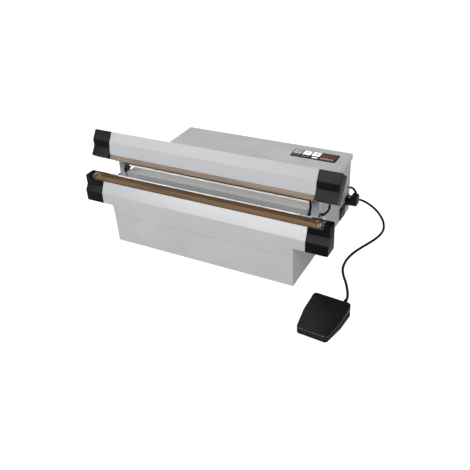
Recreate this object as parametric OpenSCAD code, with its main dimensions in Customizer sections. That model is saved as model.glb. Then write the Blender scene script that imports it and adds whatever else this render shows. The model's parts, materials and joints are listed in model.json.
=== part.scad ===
// Bench-top impulse heat sealer: magnet-closed jaws over a sheet-metal body, with a foot pedal.
// X runs along the jaws, Y towards the back, Z up. The origin is the middle foot's sole.

/* [Body] */
// Width over the side panels
body_w = 537; // [500:1:620]
// Depth from the front panel to the back panel
body_d = 413; // [390:1:460]
// Height of the cover's top
cover_top = 180; // [176:1:190]
// Height of the bench that carries the lower jaw
bench_h = 118; // [112:1:122]
// Height of the crease in the front panel
crease_h = 90; // [70:1:100]
// How far the front panel leans out above its crease
front_lean = 2.5; // [0:0.5:4]
// Distance from the front panel to the housing wall behind the jaws
wall_in = 82; // [78:1:84]
// How far the cover stands out behind the back panel
cover_over = 9; // [6:1:30]
// Height of the cover's skirt
skirt_h = 17; // [12:1:22]
// Thickness of the sheet metal
sheet = 1.5; // [1:0.1:1.6]
// Height of the rubber feet
foot_h = 4; // [3:0.5:8]
// Radius of the rubber feet
foot_r = 11; // [8:0.5:16]
// How far in from the body's edges the corner feet stand
foot_inset = 24; // [20:1:40]

/* [Jaws] */
// Length of the metal channel of each jaw
jaw_l = 600; // [580:1:680]
// Length of each plastic end cap
cap_l = 57; // [40:1:70]
// Height of a jaw's metal front
jaw_h = 60; // [54:1:60]
// Depth of a jaw from its crease to its rear plate
jaw_d = 40; // [36:1:44]
// How far the metal's sealing edge is set back
edge_in = 13.5; // [10:0.5:16]
// Height of the sealing bar above the metal's edge
bar_rise = 11.5; // [9:0.5:12]
// Gap between the closed sealing faces
seal_gap = 0.6; // [0.4:0.1:1]
// Length of the release strips
strip_l = 678; // [650:1:690]
// Width of the heating bands
band_w = 6; // [3:0.5:10]

/* [Opening] */
// Angle between the closed and the open jaw
open_angle = 36; // [30:1:38]
// Distance of the pivot behind the front panel
pivot_in = 93; // [92:0.5:100]
// Height of the pivot
pivot_z = 152.5; // [148:0.5:156]
// Radius of the pivot shaft
shaft_r = 8; // [6:0.5:8.5]
// Width of the jaw arms
arm_w = 18; // [12:1:22]
// Depth of the jaw arms
arm_d = 26; // [22:1:28]
// Gap between the housing's side and a jaw arm
arm_gap = 10; // [8:1:12]
// Distance of the magnets from the middle
magnet_x = 150; // [110:1:190]
// Length of the armature levers
lever_l = 75; // [66:1:78]

/* [Panel] */
// Width of the control panel
panel_w = 134; // [132:1:160]
// Depth of the control panel
panel_d = 45; // [42:1:56]
// Distance of the panel's right end from the body's side
panel_side = 25; // [20:1:60]
// Distance of the panel's back edge in from the back panel
panel_back = 23; // [12:1:40]
// Width of a key
key_w = 24; // [18:1:24]
// Depth of a key
key_d = 24; // [16:1:26]
// Travel of a key
key_travel = 0.8; // [0.4:0.1:1.2]

/* [Inlet] */
// Length of the mains inlet's frame
inlet_l = 74; // [74:1:80]
// Height of the frame round the rocker and the fuse drawer
inlet_h = 38; // [32:1:44]
// Height of the inlet's lower edge
inlet_z = 7; // [7:1:20]
// How much higher the mains socket stands than the rocker
socket_rise = 19; // [12:1:22]
// Half the swing of the rocker
rocker_tilt = 9; // [6:1:12]

/* [Pedal] */
// Width of the pedal's front
pedal_front = 76.5; // [70:0.5:84]
// Width of the pedal's back
pedal_rear = 94; // [86:0.5:104]
// Length of the pedal
pedal_l = 115.5; // [106:0.5:125]
// Height of the pedal's front
pedal_low = 18; // [16:0.5:20]
// Height of the pedal's back
pedal_high = 34.5; // [33:0.5:42]
// Travel of the treadle
pedal_swing = 4; // [3:0.5:5]
// Wall of the pedal's shells
pedal_wall = 2.5; // [2:0.25:3]

/* [Cords] */
// Diameter of the mains cord
mains_dia = 6.5; // [6:0.1:7]
// Diameter of the pedal cord
pedal_dia = 6.2; // [5.8:0.1:6.6]

/* [Hidden] */
$fn = 48;
touch = 0.05;      // running fit between a shaft and its bore
clear = 0.3;       // gap between pieces that move past each other
fit = 0.1;         // gap between pieces that are only laid together

front_y = -203;    // from the middle foot
back_y = front_y + body_d;
side_x = body_w / 2;
wall_y = front_y + wall_in;
inner_x = side_x - sheet;
under_cover = cover_top - sheet;
base_top = foot_h + sheet;

// jaws, all heights for the lower jaw; the upper jaw is its mirror image
edge_z = bench_h + jaw_h;
seal_z = edge_z + bar_rise;
knee_z = bench_h + 29;
knee_out = 1;
jaw_rear = front_y + jaw_d;
half_l = jaw_l / 2;
cap_end = half_l + cap_l;
mirror_z = seal_z + seal_gap / 2;
strip_t = 1;
ridge_in = edge_in + 4.5;
rear_round = 4;    // how the strip falls away in front of the rear plate
rear_fall = 3;
bar_l = jaw_l - 12;
cap_step_in = 9.5;
cap_step_hi = 44;
cap_step_lo = 28;

// pivot, arms and magnets
pivot_y = front_y + pivot_in;
cover_x = side_x + fit + sheet;
arm_x = cover_x + arm_gap;
eye_r = 16;
boss_r = shaft_r + 2;
shaft_end = arm_x + arm_w + 12;
bush_r = shaft_r + 1.2;
flange_r = bush_r + 2;
flange_t = 1.5;
lever_open = 60;                       // lever's angle below the horizontal, jaw open
lever_shut = lever_open - open_angle;
armature_t = 8;
armature_l = 42;
armature_gap = 0.6;
magnet_r = 21;
magnet_h = 34;
lever_t = 8;
stud_at = 46;
hook_r = 2.5;
spring_r = 5;
spring_x = magnet_x + lever_t / 2 + spring_r + 1;
stud_y = pivot_y + stud_at * cos(lever_open) - lever_t / 2 * sin(lever_open);
stud_z = pivot_z - stud_at * sin(lever_open) - lever_t / 2 * cos(lever_open);
anchor_y = front_y + 62;
anchor_z = 34;

// control panel, from its own right and back edges
panel_x1 = side_x - panel_side;
panel_x0 = panel_x1 - panel_w;
panel_y1 = back_y - panel_back;
panel_y0 = panel_y1 - panel_d;
panel_t = 2.5;
key_gap = 4;
key_x = [for (i = [0:2]) panel_x0 + 3 + key_w / 2 + i * (key_w + key_gap)];
key_y = panel_y1 - 3.5 - key_d / 2;
key_stand = 1;
window_x0 = key_x[2] + key_w / 2 + key_gap;
window_x1 = panel_x1 - 4;
board_z = cover_top - 22;
board_t = 1.6;
tact_h = 6;
display_h = 12;

// mains inlet and its connector
inlet_y0 = back_y - 6 - inlet_l;
inlet_t = 2.5;
inlet_in = 22;
inlet_rim = 2;
rocker_y = inlet_y0 + 12.5;
rocker_l = 24;
rocker_w = 15;
trunnion_r = 2;
trunnion_l = 1.2;
fuse_y = inlet_y0 + 31;
fuse_w = 15;
fuse_h = 22;
switch_l = 42;
socket_w = 26;
socket_h = 19;
socket_frame = 34;
socket_frame_h = 28;
socket_y = inlet_y0 + inlet_l - socket_frame / 2;
inlet_mid = inlet_z + inlet_h / 2;
socket_mid = inlet_mid + socket_rise;
inlet_face = side_x + inlet_t;

// pedal, in its own frame: x across, y along, z up
pedal_at = [382, -299, 0];
pedal_turn = -4;
pedal_corner = 8;
pedal_bulge = 3.5;
pedal_foot = 2;
rim_h = 11;
hinge_in = 12;
hinge_z = 9;
pin_r = 2;
relief_x = 21;
relief_z = 13;
relief_r = 5.5;
relief_in = 16;
relief_l = 18;

// routes of the two cords: the points are chosen by hand
mains_route = [
    [296, 189, 69.5], [292.5, 192, 74.5], [287.5, 196.5, 77.6], [281.5, 202.5, 78.3],
    [276, 208.5, 76.5], [270, 215, 73], [263, 221, 68], [254, 227, 61], [244, 233, 52.5],
    [233, 239, 43.5], [222, 245, 34], [211, 250.5, 24.5], [200, 255.5, 16], [189, 259, 9.4],
    [178, 261, 5.4], [167, 261.5, 3.8], [156, 261.3, 3.4], [146, 261, 3.4], [136, 261, 3.4]
];
tail_route = [[108, 261, 9.8], [100, 261, 11], [92, 262, 14], [86, 262, 17], [80, 262, 19]];
pedal_route = [
    [236, 237, 30], [236, 246, 29.5], [238, 255, 26.5], [243, 264, 19.5], [252, 271, 11.5],
    [264, 275, 6], [278, 275.5, 3.6], [294, 272, 3.3], [312, 262, 3.3], [328, 250, 3.3],
    [343, 236, 3.3], [357, 220, 3.3], [369, 203, 3.3], [380, 185, 3.3], [388, 166, 3.3],
    [394, 146, 3.3], [396, 125, 3.3], [394, 104, 3.3], [389, 84, 3.3], [382, 64, 3.3],
    [374, 44, 3.3], [366, 24, 3.3], [359, 4, 3.3], [354, -16, 3.3], [351, -37, 3.3],
    [351, -58, 3.3], [354, -79, 3.3], [361, -99, 3.3], [371, -118, 3.3], [382, -136, 3.3],
    [391, -154, 3.4], [398, -170, 4], [403, -184, 5.8], [406.2, -194, 8.8], [408.1, -203, 11.4],
    [409.1, -212.3, 13]
];
coil_at = [118, 303, 0];
coil_r = 36;
plug_at = [64, 262, 19];

// ---------- helpers ----------

// extrudes a (y, z) outline along X, centred
module along_x(length) {
    rotate([90, 0, 90]) linear_extrude(length, center = true) children();
}

// extrudes a (y, z) outline from x0 to x1
module span_x(x0, x1) {
    translate([(x0 + x1) / 2, 0, 0]) along_x(x1 - x0) children();
}

module both_sides() {
    children();
    mirror([1, 0, 0]) children();
}

module square_from(low, high) {
    translate(low) square(high - low);
}

module block(low, high) {
    translate(low) cube(high - low);
}

module rod_x(x0, x1, r) {
    translate([x0, 0, 0]) rotate([0, 90, 0]) cylinder(h = x1 - x0, r = r);
}

// a screw with a domed head, its head's underside at the origin and its shank along -Z
module screw(head_r, head_h, shank_r, shank_l) {
    translate([0, 0, -shank_l]) cylinder(h = shank_l, r = shank_r, $fn = 24);
    difference() {
        cylinder(h = head_h, r1 = head_r, r2 = head_r * 0.8, $fn = 32);
        translate([0, 0, head_h * 0.45])
            for (a = [0, 90]) rotate(a)
                cube([head_r * 1.1, head_r * 0.26, head_h * 1.3], center = true);
    }
}

// turns a closed-jaw piece about the pivot to where the open jaw holds it
module opened() {
    translate([0, pivot_y, pivot_z]) rotate([-open_angle, 0, 0])
        translate([0, -pivot_y, -pivot_z]) children();
}

// a lower-jaw piece as the upper jaw has it
module upper() {
    opened() translate([0, 0, 2 * mirror_z]) mirror([0, 0, 1]) children();
}

function unit(v) = v / norm(v);
function heading(pts, i) =
    unit(pts[min(i + 1, len(pts) - 1)] - pts[max(i - 1, 0)]);
// a side vector at each point, carried along so that the tube doesn't twist
function side_of(pts, i) =
    i == 0
        ? unit(cross(heading(pts, 0), abs(heading(pts, 0)[2]) < 0.8 ? [0, 0, 1] : [1, 0, 0]))
        : let (t = heading(pts, i), s = side_of(pts, i - 1)) unit(s - t * (s * t));

module tube(pts, r, sides) {
    rings = [for (i = [0 : len(pts) - 1])
        let (t = heading(pts, i), s = side_of(pts, i), u = cross(t, s))
            [for (k = [0 : sides - 1])
                pts[i] + r * (cos(360 * k / sides) * s + sin(360 * k / sides) * u)]];
    last = len(pts) - 1;
    polyhedron(
        points = [for (ring = rings) for (p = ring) p],
        faces = concat(
            [[for (k = [0 : sides - 1]) k]],
            [for (i = [0 : last - 1]) for (k = [0 : sides - 1])
                [i * sides + k, (i + 1) * sides + k,
                 (i + 1) * sides + (k + 1) % sides, i * sides + (k + 1) % sides]],
            [[for (k = [sides - 1 : -1 : 0]) last * sides + k]]
        )
    );
}

// ---------- body ----------

module front_outline(inset) {
    polygon([
        [front_y + inset, foot_h], [front_y + inset, crease_h],
        [front_y - front_lean + inset, bench_h],
        [front_y - front_lean + inset + sheet, bench_h],
        [front_y + inset + sheet, crease_h], [front_y + inset + sheet, foot_h]
    ]);
}

module front_panel() {
    color([0.74, 0.74, 0.75]) {
        along_x(body_w) front_outline(0);
        // flange that the base plate lies on
        block([-inner_x + fit, front_y + sheet, foot_h],
              [inner_x - fit, front_y + sheet + 10, foot_h + sheet]);
    }
}

module side_outline() {
    polygon([
        [front_y + sheet + fit, foot_h], [front_y + sheet + fit, crease_h],
        [front_y - front_lean + sheet + 2 * fit, bench_h - sheet],
        [wall_y, bench_h - sheet], [wall_y, under_cover], [back_y, under_cover], [back_y, foot_h]
    ]);
}

module side_plate() {
    difference() {
        span_x(inner_x, side_x) side_outline();
        translate([0, pivot_y, pivot_z]) rod_x(inner_x - 1, side_x + 1, bush_r + touch);
    }
}

module side_panel_left() {
    color([0.55, 0.57, 0.60]) mirror([1, 0, 0]) side_plate();
}

module side_panel_right() {
    color([0.55, 0.57, 0.60]) difference() {
        side_plate();
        span_x(inner_x - 1, side_x + 1) inlet_outline(inlet_rim);
    }
}

socket_x = inner_x - 31;
socket_z = 30;
socket_r = 6;
vent_x = 110;
vent_z = 120;
vent_w = 5;
vent_h = 44;
vent_pitch = 12;
vents = 10;
module back_panel() {
    color([0.66, 0.67, 0.69]) difference() {
        block([-inner_x + fit, back_y - sheet, base_top + fit], [inner_x - fit, back_y, under_cover]);
        for (side = [-1, 1]) for (i = [0 : vents - 1])
            translate([side * vent_x + (i - (vents - 1) / 2) * vent_pitch, back_y, vent_z])
                cube([vent_w, 4 * sheet, vent_h], center = true);
        translate([socket_x, back_y + 1, socket_z]) rotate([90, 0, 0])
            cylinder(h = sheet + 2, r = socket_r + touch);
    }
}

foot_spots = [for (x = [-side_x + foot_inset, side_x - foot_inset])
    for (y = [front_y + foot_inset, back_y - foot_inset]) [x, y]];
foot_hole_r = 2.2;
foot_head_r = 4;

module base_plate() {
    color([0.6, 0.6, 0.62]) difference() {
        block([-inner_x + fit, front_y + sheet + 10 + fit, foot_h],
              [inner_x - fit, back_y, base_top]);
        for (p = foot_spots)
            translate([p[0], p[1], foot_h - 1]) cylinder(h = sheet + 2, r = foot_hole_r);
    }
    // lugs bent up for the return springs
    color([0.6, 0.6, 0.62]) both_sides()
        block([spring_x - 2, anchor_y - 6, base_top - sheet], [spring_x + 2, anchor_y + 6, anchor_z - hook_r]);
}

module bench_tray() {
    color([0.72, 0.72, 0.73]) difference() {
        union() {
            block([-side_x, front_y - front_lean + sheet + 2 * fit, bench_h - sheet],
                  [side_x, wall_y - fit, bench_h]);
            span_x(-inner_x + fit, inner_x - fit) polygon([
                [wall_y - 2 * fit, bench_h - sheet], [wall_y - 2 * fit, bench_h], [wall_y, bench_h],
                [wall_y, under_cover], [wall_y + sheet, under_cover], [wall_y + sheet, bench_h - sheet]
            ]);
            // flange under the cover
            block([-inner_x + fit, wall_y + sheet, under_cover - sheet],
                  [inner_x - fit, wall_y + sheet + 1, under_cover]);
        }
        jaw_screw_holes();
    }
}

cover_back = back_y + cover_over;
module top_cover() {
    color([0.71, 0.71, 0.70]) difference() {
        union() {
            block([-cover_x, wall_y, under_cover], [cover_x, cover_back, cover_top]);
            both_sides() block([cover_x - sheet, wall_y, cover_top - skirt_h],
                               [cover_x, cover_back, under_cover]);
            block([-cover_x + sheet, cover_back - sheet, cover_top - skirt_h],
                  [cover_x - sheet, cover_back, under_cover]);
        }
        // notches in the skirt over the shaft's bushes
        translate([0, pivot_y, pivot_z]) rod_x(-cover_x - 1, cover_x + 1, flange_r + clear);
        cover_screw_spots() translate([0, 0, -2 * sheet]) cylinder(h = 3 * sheet, r = 1.5 + fit);
        // cut-out under the control panel
        block([panel_x0 + 2, panel_y0 + 2, under_cover - 1], [panel_x1 - 2, panel_y1 - 2, cover_top + 1]);
    }
}

// four feet held by screws, and a plain pad in the middle
module rubber_feet() {
    color([0.1, 0.1, 0.1]) {
        for (p = foot_spots) translate([p[0], p[1], 0]) difference() {
            cylinder(h = foot_h, r1 = foot_r * 0.9, r2 = foot_r);
            translate([0, 0, -1]) cylinder(h = foot_h * 0.5 + 1, r = foot_head_r + 1);
            cylinder(h = foot_h + 1, r = foot_hole_r);
        }
        cylinder(h = foot_h, r1 = foot_r * 0.9, r2 = foot_r);
    }
}

module foot_screws() {
    color([0.7, 0.7, 0.72]) for (p = foot_spots)
        translate([p[0], p[1], foot_h * 0.5]) mirror([0, 0, 1])
            screw(foot_head_r, foot_h * 0.4, 2, foot_h * 0.5 + sheet + 4);
}

module cover_screw_spots() {
    both_sides() for (y = [wall_y + 60, back_y - 60])
        translate([cover_x, y, cover_top - skirt_h / 2]) rotate([0, 90, 0]) children();
}

module cover_screws() {
    color([0.75, 0.75, 0.77]) cover_screw_spots() screw(4, 2, 1.5, sheet);
}

// ---------- lower jaw, whose pieces the upper jaw mirrors ----------

module jaw_front_outline() {
    polygon([
        [front_y + edge_in, edge_z], [front_y - knee_out, knee_z], [front_y - front_lean, bench_h],
        [jaw_rear + sheet, bench_h], [jaw_rear + sheet, seal_z], [jaw_rear, seal_z],
        [jaw_rear, bench_h + sheet], [front_y - front_lean + sheet, bench_h + sheet],
        [front_y - knee_out + sheet * 1.1, knee_z], [front_y + edge_in + sheet * 1.1, edge_z]
    ]);
}

leg_w = 6;
jaw_screw_r = 2;
jaw_screw_x = [-230, -80, 80, 230];
jaw_screw_y = [front_y + ridge_in + leg_w / 2, jaw_rear - leg_w / 2];
module jaw_screw_holes() {
    for (x = jaw_screw_x) for (y = jaw_screw_y)
        translate([x, y, bench_h - 2 * sheet]) cylinder(h = 4 * sheet + 8, r = jaw_screw_r + fit);
}

module jaw_channel() {
    difference() {
        along_x(jaw_l) jaw_front_outline();
        jaw_screw_holes();
    }
}

// aluminium bar on two legs inside the channel
bar_top = seal_z - 5.5;
module seal_bar() {
    difference() {
        along_x(bar_l) polygon([
            [front_y + ridge_in - 2, edge_z - 6], [front_y + ridge_in + 0.6, bar_top],
            [jaw_rear - fit, bar_top], [jaw_rear - fit, bench_h + sheet],
            [jaw_rear - leg_w, bench_h + sheet], [jaw_rear - leg_w, edge_z - 14],
            [front_y + ridge_in + leg_w, edge_z - 14],
            [front_y + ridge_in + leg_w, bench_h + sheet], [front_y + ridge_in, bench_h + sheet]
        ]);
        jaw_screw_holes();
    }
}

backing_top = seal_z - strip_t - 0.6;
module backing() {
    along_x(bar_l) polygon([
        [front_y + ridge_in + 0.8, bar_top], [front_y + ridge_in + 1.8, backing_top],
        [jaw_rear - rear_round - 0.6, backing_top], [jaw_rear - 0.6, backing_top - rear_fall],
        [jaw_rear - 0.6, bar_top]
    ]);
}

band_y = (front_y + ridge_in + jaw_rear) / 2;
module heating_band() {
    block([-bar_l / 2, band_y - band_w / 2, backing_top],
          [bar_l / 2, band_y + band_w / 2, seal_z - strip_t]);
}

strip_foot = strip_t + 0.6;
module release_strip(length) {
    along_x(length) polygon([
        [front_y + edge_in + 0.2, edge_z + 0.3], [front_y + ridge_in, seal_z],
        [jaw_rear - rear_round, seal_z], [jaw_rear - fit, seal_z - rear_fall],
        [jaw_rear - fit, seal_z - rear_fall - strip_t], [jaw_rear - rear_round - 0.3, seal_z - strip_t],
        [front_y + ridge_in + strip_t * 0.7, seal_z - strip_t],
        [front_y + edge_in + strip_foot, edge_z + 0.3]
    ]);
}

// the right end cap, a moulding with a stepped front
strip_out = strip_l / 2;
module cap_outline(top) {
    polygon([
        [front_y + cap_step_in, top], [front_y + cap_step_in, bench_h + cap_step_hi],
        [front_y - knee_out - 1, bench_h + cap_step_lo], [front_y - front_lean - 1, bench_h],
        [jaw_rear + sheet, bench_h], [jaw_rear + sheet, top]
    ]);
}

// the recess in the lower jaw's caps, for the ends of the strip
module cap_recess() {
    span_x(half_l, strip_out + 0.6) polygon([
        [front_y - 5, seal_z + 1], [front_y - 5, edge_z],
        [front_y + edge_in + strip_foot + 2 * fit, edge_z + 2 * fit],
        [front_y + ridge_in + 1, seal_z - strip_t - 2 * fit],
        [jaw_rear - rear_round + fit, seal_z - strip_t - 2 * fit], [jaw_rear - rear_round + fit, seal_z + 1]
    ]);
}

module jaw_cap() {
    difference() {
        span_x(half_l + fit, cap_end) cap_outline(seal_z - 0.5);
        // rounded outer corners
        for (y = [front_y - front_lean - 1, jaw_rear + sheet])
            translate([cap_end, y, bench_h - 1]) rotate(45)
                cube([4, 4, 3 * jaw_h], center = true);
        // hollow inside, open towards the channel
        span_x(half_l, cap_end - 4) polygon([
            [front_y + edge_in + 2, bench_h + 4], [jaw_rear - 3, bench_h + 4],
            [jaw_rear - 3, edge_z - 6], [front_y + ridge_in, edge_z - 6]
        ]);
    }
}

module lower_jaw_channel() { color([0.84, 0.85, 0.86]) jaw_channel(); }
module recessed_cap() {
    difference() {
        jaw_cap();
        cap_recess();
    }
}

module lower_jaw_cap_left() { color([0.13, 0.13, 0.14]) mirror([1, 0, 0]) recessed_cap(); }
module lower_jaw_cap_right() { color([0.13, 0.13, 0.14]) recessed_cap(); }
module lower_seal_bar() { color([0.8, 0.8, 0.82]) seal_bar(); }
module lower_backing() { color([0.75, 0.35, 0.25]) backing(); }
module lower_heating_band() { color([0.6, 0.6, 0.6]) heating_band(); }

// the lower strip runs on into the caps, where it is narrower
module lower_release_strip() {
    color([0.47, 0.37, 0.29]) difference() {
        release_strip(strip_l);
        both_sides() block([half_l - fit, jaw_rear - rear_round, bar_top],
                           [strip_out + 1, jaw_rear + sheet, seal_z + 1]);
    }
}

module lower_jaw_screws() {
    color([0.7, 0.7, 0.72]) for (x = jaw_screw_x) for (y = jaw_screw_y)
        translate([x, y, bench_h - sheet]) mirror([0, 0, 1])
            screw(4, 2.5, jaw_screw_r, 2 * sheet + 6);
}

module upper_jaw_channel() { color([0.84, 0.85, 0.86]) upper() jaw_channel(); }
module upper_jaw_cap_left() { color([0.13, 0.13, 0.14]) upper() mirror([1, 0, 0]) jaw_cap(); }
module upper_jaw_cap_right() { color([0.13, 0.13, 0.14]) upper() jaw_cap(); }
module upper_seal_bar() { color([0.8, 0.8, 0.82]) upper() seal_bar(); }
module upper_backing() { color([0.75, 0.35, 0.25]) upper() backing(); }
module upper_heating_band() { color([0.6, 0.6, 0.6]) upper() heating_band(); }
module upper_release_strip() { color([0.6, 0.47, 0.37]) upper() release_strip(jaw_l); }

// ---------- arms, shaft and magnets ----------

// the arm in the closed position: its pad lies on the upper jaw's rear plate
pad_y = jaw_rear + sheet;
pad_low = seal_z + 26;
pad_high = seal_z + 64;
pad_t = 14;
module arm_outline() {
    translate([pivot_y, pivot_z]) circle(r = eye_r);
    polygon([
        [pivot_y - arm_d / 2, pivot_z + 4], [pad_y, pad_low], [pad_y, pad_high],
        [pad_y + pad_t, pad_high], [pad_y + pad_t, pad_low + 20],
        [pivot_y + arm_d / 2 - 2, pivot_z + 9]
    ]);
}

arm_screw_r = 1.5;
arm_screw_z = pad_high - 8;
module arm_screw_spots() {
    for (side = [-1, 1])
        translate([arm_x + arm_w / 2 + side * arm_w / 4, pad_y + pad_t, arm_screw_z])
            rotate([-90, 0, 0]) children();
}

module arm() {
    opened() difference() {
        union() {
            span_x(arm_x, arm_x + arm_w) arm_outline();
            // boss that keeps the arm off the body's side
            translate([0, pivot_y, pivot_z]) rod_x(side_x + flange_t + touch, arm_x + arm_w / 2, boss_r);
        }
        translate([0, pivot_y, pivot_z]) rod_x(side_x, arm_x + arm_w + 1, shaft_r + touch);
        arm_screw_spots() translate([0, 0, -pad_t - 1])
            cylinder(h = pad_t + 2, r = arm_screw_r + fit);
    }
}

module jaw_arm_left() { color([0.74, 0.75, 0.76]) mirror([1, 0, 0]) arm(); }
module jaw_arm_right() { color([0.74, 0.75, 0.76]) arm(); }

module arm_screws() {
    color([0.7, 0.7, 0.72]) opened() both_sides() arm_screw_spots()
        screw(3.5, 3, arm_screw_r, pad_t);
}

module pivot_shaft() {
    color([0.78, 0.78, 0.8]) translate([0, pivot_y, pivot_z])
        rod_x(-shaft_end + 6, shaft_end - 6, shaft_r);
}

module shaft_nuts() {
    color([0.7, 0.7, 0.72]) both_sides() translate([0, pivot_y, pivot_z]) difference() {
        union() {
            rod_x(arm_x + arm_w, arm_x + arm_w + 1.5, shaft_r + 5);
            translate([arm_x + arm_w + 1.5, 0, 0]) rotate([0, 90, 0])
                cylinder(h = shaft_end - arm_x - arm_w - 1.5, r = shaft_r + 4, $fn = 6);
        }
        rod_x(arm_x, shaft_end - 6 + touch, shaft_r + touch);
    }
}

module pivot_bushes() {
    color([0.72, 0.58, 0.3]) both_sides() translate([0, pivot_y, pivot_z]) difference() {
        union() {
            rod_x(inner_x - 5, side_x, bush_r);
            rod_x(side_x, side_x + flange_t, flange_r);
        }
        rod_x(inner_x - 7, side_x + 4, shaft_r + touch);
    }
}

module lever_swing() {
    translate([0, pivot_y, pivot_z]) rotate([-lever_open, 0, 0]) children();
}

// each lever is welded to the back of the shaft, clear of the housing wall
module lever_outline() {
    difference() {
        union() {
            intersection() {
                circle(r = shaft_r + 6);
                translate([shaft_r - 1, -shaft_r - 6]) square(2 * shaft_r + 12);
            }
            translate([shaft_r, -lever_t]) square([lever_l - shaft_r + armature_l / 4, lever_t]);
        }
        circle(r = shaft_r + touch);
    }
}

module armature_levers() {
    color([0.6, 0.62, 0.65]) both_sides() lever_swing() {
        span_x(magnet_x - lever_t / 2, magnet_x + lever_t / 2) lever_outline();
        // stud that the return spring hooks on
        translate([0, stud_at, -lever_t / 2]) rod_x(magnet_x + lever_t / 2, spring_x + 3, hook_r);
    }
}

module armature_plates() {
    color([0.5, 0.5, 0.52]) both_sides() lever_swing()
        block([magnet_x - magnet_r - 2, lever_l - armature_l / 2, 0],
              [magnet_x + magnet_r + 2, lever_l + armature_l / 2, armature_t]);
}

// the magnets' frame: origin on the closed armature's face, Z away from it
module magnet_frame() {
    translate([0, pivot_y, pivot_z]) rotate([-lever_shut, 0, 0])
        translate([magnet_x, lever_l, armature_t + armature_gap]) children();
}

module magnet_cups() {
    color([0.45, 0.46, 0.48]) both_sides() magnet_frame() difference() {
        cylinder(h = magnet_h, r = magnet_r);
        translate([0, 0, -1]) difference() {
            cylinder(h = magnet_h - 5, r = magnet_r - 3);
            cylinder(h = magnet_h - 5, r = 8);
        }
    }
}

module magnet_coils() {
    color([0.72, 0.4, 0.2]) both_sides() magnet_frame() difference() {
        translate([0, 0, 1]) cylinder(h = magnet_h - 7, r = magnet_r - 3 - fit);
        cylinder(h = magnet_h, r = 8 + fit);
    }
}

// each magnet hangs from an inclined plate on a post
plate_t = 4;
post_along = lever_l + magnet_r + 12;
post_up = armature_t + armature_gap + magnet_h;
post_y = pivot_y + post_along * cos(lever_shut) + post_up * sin(lever_shut);
post_top = pivot_z - post_along * sin(lever_shut) + post_up * cos(lever_shut);
module magnet_brackets() {
    color([0.62, 0.63, 0.65]) both_sides() {
        magnet_frame() translate([-magnet_r - 4, -magnet_r - 4, magnet_h])
            cube([2 * magnet_r + 8, 2 * magnet_r + 18, plate_t]);
        block([magnet_x - magnet_r - 4, post_y, base_top],
              [magnet_x + magnet_r + 4, post_y + plate_t, post_top]);
        block([magnet_x - magnet_r - 4, post_y, base_top],
              [magnet_x + magnet_r + 4, post_y + 30, base_top + plate_t]);
    }
}

// extension springs, each a closed tube with its two end loops
module return_springs() {
    run = [stud_y - anchor_y, stud_z - anchor_z];
    long = norm(run);
    color([0.7, 0.7, 0.72]) both_sides()
        translate([spring_x, anchor_y, anchor_z]) rotate([-90 + atan2(run[1], run[0]), 0, 0]) {
            translate([0, 0, hook_r + 6]) cylinder(h = long - 2 * hook_r - 12, r = spring_r);
            for (z = [hook_r, long - hook_r - 6]) translate([0, 0, z]) cylinder(h = 6, r = 1.5);
        }
}

// ---------- leads to the upper jaw ----------

lead_r = 1.5;
// a lead's points are given from the pivot, in the open position
module lead(pts) {
    tube([for (p = pts) [p[0], pivot_y + p[1], pivot_z + p[2]]], lead_r, 8);
}

outer_lead_x = arm_x + arm_w + lead_r + fit;
inner_lead_x = cover_x + arm_gap / 2;
outer_lead = [
    [30, -17.5, 58.5], [30, -18, 52], [28.5, -16, 46], [25, -11, 38], [20, -6, 30],
    [14.5, 2, 22], [9, 7, 14.5], [3.5, 11, 9], [-2, 13.5, 7]
];
inner_lead = [
    [0, -10, 62], [0, -5, 52], [0, -2, 42], [0, -1, 32], [0, -3, 23], [0, -9, 16], [0, -17, 12],
    [0, -25, 8], [0.4, -30, 1], [0.8, -29, -7], [1.4, -22, -12], [2.4, -14, -12], [6, -10, -9]
];
module jaw_leads() {
    color([0.05, 0.05, 0.05]) {
        lead([for (p = outer_lead) p + [outer_lead_x, 0, 0]]);
        both_sides() lead([for (p = inner_lead) p + [inner_lead_x, 0, 0]]);
    }
}

// ---------- control panel ----------

module control_fascia() {
    color([0.07, 0.07, 0.08]) difference() {
        block([panel_x0, panel_y0, cover_top], [panel_x1, panel_y1, cover_top + panel_t]);
        for (x = key_x) translate([x, key_y, cover_top + panel_t / 2])
            cube([key_w + 2 * clear, key_d + 2 * clear, panel_t + 1], center = true);
        block([window_x0, key_y - key_d / 2, cover_top - 1],
              [window_x1, key_y + key_d / 2, cover_top + panel_t + 1]);
    }
}

module display_window() {
    color([0.35, 0.08, 0.09])
        block([window_x0 + fit, key_y - key_d / 2 + fit, cover_top],
              [window_x1 - fit, key_y + key_d / 2 - fit, cover_top + panel_t - 0.3]);
}

module key(i) {
    stem_low = board_z + board_t + tact_h + clear;
    block([key_x[i] - key_w / 2, key_y - key_d / 2, cover_top + 0.2],
          [key_x[i] + key_w / 2, key_y + key_d / 2, cover_top + panel_t + key_stand]);
    translate([key_x[i], key_y, stem_low]) cylinder(h = cover_top + 0.2 - stem_low, r = 3);
}

module key_left() { color([0.62, 0.62, 0.62]) key(0); }
module key_middle() { color([0.93, 0.93, 0.93]) key(1); }
module key_right() { color([0.93, 0.93, 0.93]) key(2); }

module control_board() {
    color([0.1, 0.35, 0.2]) {
        block([panel_x0 + 4, panel_y0 - 4, board_z], [panel_x1 - 4, panel_y1 + 4, board_z + board_t]);
        for (i = [0:2])
            block([key_x[i] - 6, key_y - 6, board_z + board_t],
                  [key_x[i] + 6, key_y + 6, board_z + board_t + tact_h - key_travel - 0.1]);
        block([window_x0 + 3, key_y - 9, board_z + board_t],
              [window_x1 - 3, key_y + 9, board_z + board_t + display_h]);
        // pillars up to the cover
        for (x = [panel_x0 + 8, panel_x1 - 8]) for (y = [panel_y0 - 0.5, panel_y1 + 0.5])
            translate([x, y, board_z + board_t])
                cylinder(h = under_cover - board_z - board_t, r = 2.5);
    }
}

// ---------- inside ----------

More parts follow.
